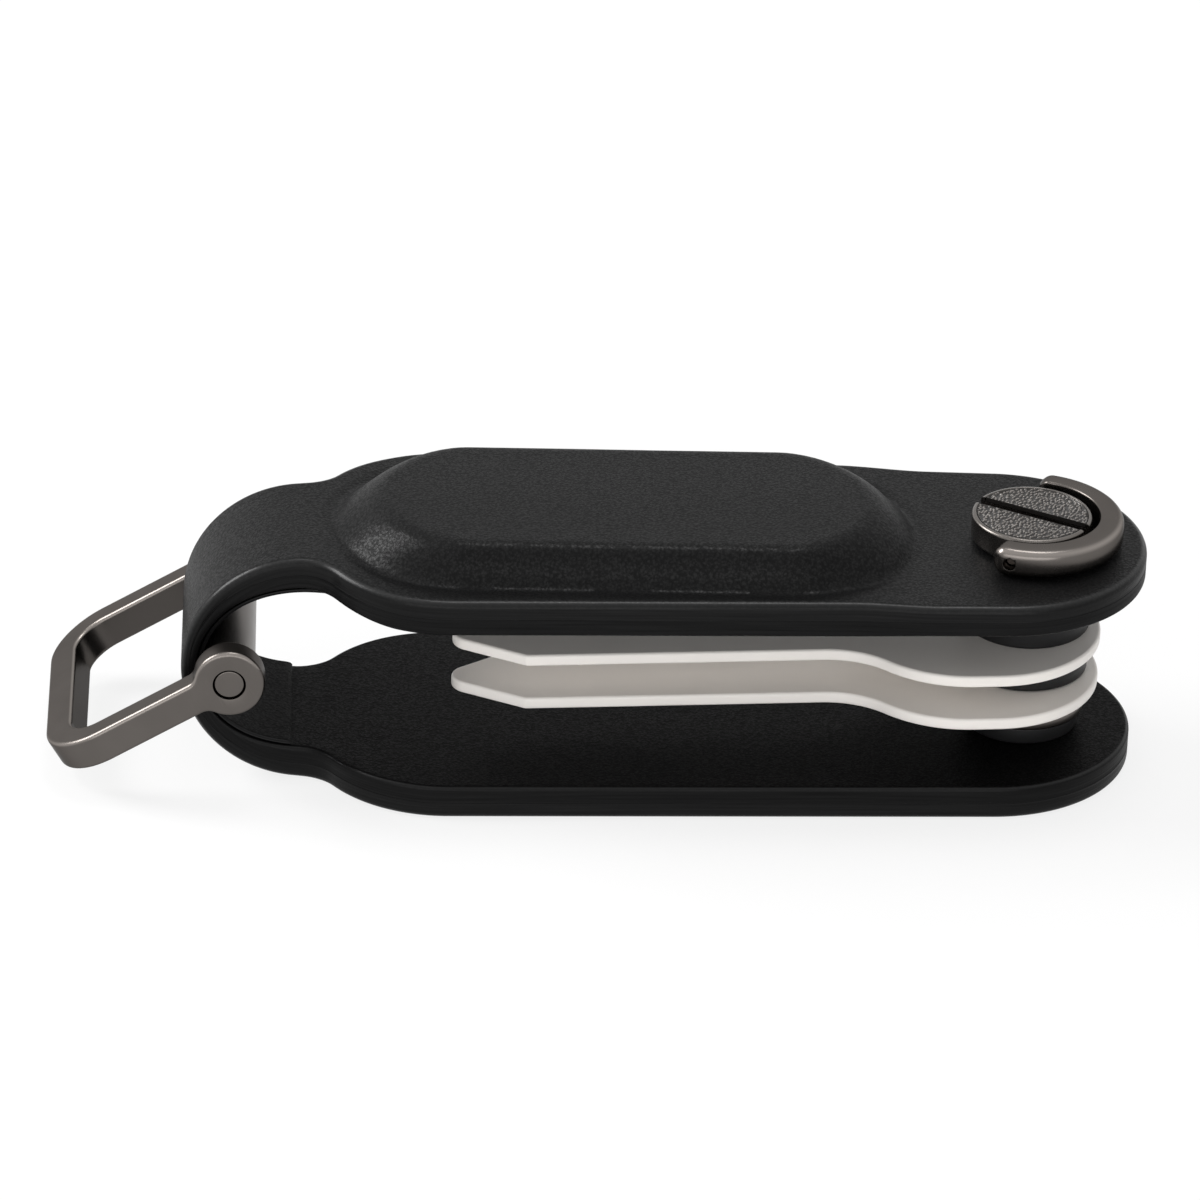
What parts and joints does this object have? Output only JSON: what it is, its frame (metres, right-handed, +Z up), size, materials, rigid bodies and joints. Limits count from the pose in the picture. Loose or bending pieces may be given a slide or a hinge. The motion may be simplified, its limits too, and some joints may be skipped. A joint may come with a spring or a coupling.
{
  "type": "key organizer",
  "caption": "Folded leather key organizer: strap closed by a coin screw on a post, swinging key blanks, raised pocket, and a square shackle hinged in the fold.",
  "frame": {"origin": "centre of the post's base disc, in the plane that the organizer rests on", "axes": "+X from the fold towards the screw end, +Z up from the lower leg to the upper leg, +Y away from the picture's viewer"},
  "size_m": [0.1045, 0.0314, 0.0267],
  "materials": {
    "leather": "fine-grained black leather, satin",
    "liner_leather": "thin pared leather, matte",
    "gunmetal": "satin warm gunmetal plating",
    "screw_steel": "polished dark steel",
    "head_grain": "pebbled dark grain",
    "black_nylon": "satin black nylon",
    "key_plastic": "satin warm white plastic",
    "module_plastic": "moulded dark plastic",
    "circuit_board": "solder resist",
    "cell_foil": "foil pouch"
  },
  "bodies": {
    "case": {"strap_outer": "leather", "strap_lining": "leather", "fold_liner": "liner_leather", "tracker_tray": "module_plastic", "tracker_cover": "module_plastic", "tracker_board": "circuit_board", "tracker_cell": "cell_foil", "post": "gunmetal", "base_washer": "black_nylon", "post_collar": "gunmetal", "collar_washer": "black_nylon", "key_spacer": "black_nylon", "upper_spacer": "black_nylon", "top_washer": "black_nylon", "pivot_sleeve": "gunmetal"},
    "lower_key": {"lower_key": "key_plastic"},
    "upper_key": {"upper_key": "key_plastic"},
    "head_washer": {"head_washer": "black_nylon"},
    "screw": {"screw": "screw_steel", "inlay_front": "head_grain", "inlay_back": "head_grain", "ring_pin_front": "gunmetal", "ring_pin_back": "gunmetal"},
    "lift_ring": {"lift_ring": "gunmetal"},
    "shackle": {"shackle": "gunmetal", "pivot_pin": "gunmetal"}
  },
  "joints": [
    {"name": "lower_key_swing", "type": "hinge", "parent": "case", "child": "lower_key", "pos_m": [0, 0, 0.0087], "axis": [0, 0, 1], "continuous": true},
    {"name": "upper_key_swing", "type": "hinge", "parent": "case", "child": "upper_key", "pos_m": [0, 0, 0.0133], "axis": [0, 0, 1], "continuous": true},
    {"name": "shackle_swing", "type": "hinge", "parent": "case", "child": "shackle", "pos_m": [-0.07606, 0, 0.0125], "axis": [0, 1, 0], "range_deg": [-90, 150]},
    {"name": "screw_lift", "type": "slide", "parent": "case", "child": "head_washer", "axis": [0, 0, 1], "range_m": [0, 0.0067]},
    {"name": "screw_turn", "type": "hinge", "parent": "head_washer", "child": "screw", "pos_m": [0, 0, 0.02273], "axis": [0, 0, 1], "range_deg": [0, 3420]},
    {"name": "ring_flip", "type": "hinge", "parent": "screw", "child": "lift_ring", "pos_m": [0, 0, 0.02428], "axis": [-0.3173, -0.9483, 0], "range_deg": [0, 180]}
  ],
  "couplings": [
    {"joint": "screw_lift", "follows": "screw_turn", "m_per_rad": 0.00011141}
  ]
}
